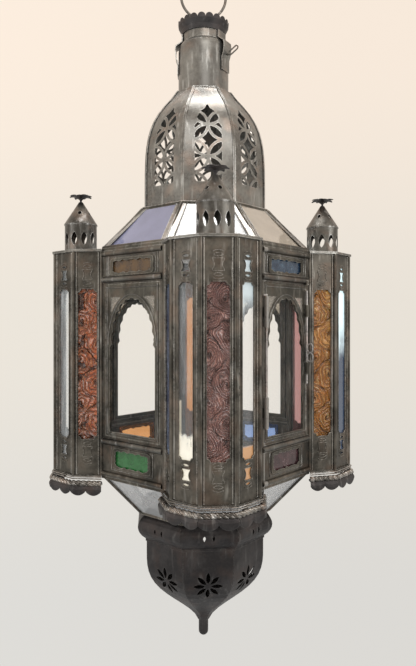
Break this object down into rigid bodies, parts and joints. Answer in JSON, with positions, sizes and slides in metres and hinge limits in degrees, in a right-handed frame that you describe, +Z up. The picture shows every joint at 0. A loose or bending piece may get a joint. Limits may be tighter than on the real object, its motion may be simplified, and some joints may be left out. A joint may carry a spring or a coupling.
{
  "type": "ramadan fanous lantern",
  "caption": "Hanging octagonal metal lantern with coloured glass bays, arched windows, a latched door, corner turrets, a pierced dome and a pierced bowl.",
  "frame": {"origin": "inside top of the hanging ring, on the lantern's vertical axis", "axes": "+Z up along the lantern's axis, -Y out of the front bay, +X to the right seen from the front"},
  "size_m": [0.3478, 0.3478, 0.7693],
  "materials": {
    "aged_metal": "satin, dark aged sheet metal",
    "worn_metal": "satin, worn brighter sheet metal and wire",
    "clear_glass": "clear, rippled",
    "rose_glass": "embossed, rose",
    "red_glass": "embossed, red-orange",
    "amber_glass": "embossed, amber",
    "blue_glass": "embossed, blue",
    "green_glass": "embossed, green",
    "purple_glass": "embossed, wine purple",
    "sky_glass": "embossed, light blue"
  },
  "bodies": {
    "lantern": {"ring_staple": "worn_metal", "crown": "worn_metal", "cap_band": "aged_metal", "neck_strap": "aged_metal", "neck_tube": "aged_metal", "dome_gores": "worn_metal", "dome_seams": "aged_metal", "roof_frame": "aged_metal", "roof_glass_clear": "clear_glass", "roof_glass_blue": "blue_glass", "roof_glass_amber": "amber_glass", "wall_front_right": "aged_metal", "wall_back_right": "aged_metal", "wall_back_left": "aged_metal", "wall_front_left": "aged_metal", "window_frame_front_left": "aged_metal", "window_frame_back_left": "aged_metal", "window_frame_back_right": "aged_metal", "window_panes": "clear_glass", "top_lights_amber": "amber_glass", "top_lights_blue": "blue_glass", "bottom_light_green": "green_glass", "bottom_light_purple": "purple_glass", "bottom_light_orange": "amber_glass", "bottom_light_sky": "sky_glass", "bay_casing_front": "aged_metal", "bay_casing_right": "aged_metal", "bay_casing_back": "aged_metal", "bay_casing_left": "aged_metal", "bay_glass_clear": "clear_glass", "bay_glass_rose": "rose_glass", "bay_glass_red": "red_glass", "bay_glass_amber": "amber_glass", "bay_glass_blue": "blue_glass", "bay_tops": "worn_metal", "bay_floors": "aged_metal", "bay_skirts": "worn_metal", "turret_drums": "aged_metal", "turret_roofs": "aged_metal", "turret_finials": "aged_metal", "hinge_pin": "worn_metal", "lower_frame": "aged_metal", "lower_panes": "clear_glass", "lower_collar": "aged_metal", "bowl_gores": "aged_metal", "bowl_tip": "aged_metal", "candle_tray": "aged_metal", "candle_cup": "worn_metal"},
    "ring": {"hanging_ring": "worn_metal"},
    "neck_pin": {"neck_pin": "worn_metal"},
    "door": {"door_frame": "aged_metal", "door_pane": "clear_glass", "bolt_guides": "aged_metal"},
    "bolt": {"door_bolt": "worn_metal"}
  },
  "joints": [
    {"name": "ring_swing", "type": "hinge", "parent": "lantern", "child": "ring", "pos_m": [0, 0, -0.0505], "axis": [1, 0, 0], "range_deg": [-90, 90]},
    {"name": "neck_pin_draw", "type": "slide", "parent": "lantern", "child": "neck_pin", "axis": [0.7986, -0.6018, 0], "range_m": [0, 0.014]},
    {"name": "door_swing", "type": "hinge", "parent": "lantern", "child": "door", "pos_m": [0.05388, -0.11045, -0.44345], "axis": [0, 0, -1], "range_deg": [0, 120]},
    {"name": "bolt_slide", "type": "slide", "parent": "door", "child": "bolt", "axis": [0, 0, 1], "range_m": [0, 0.009]}
  ]
}
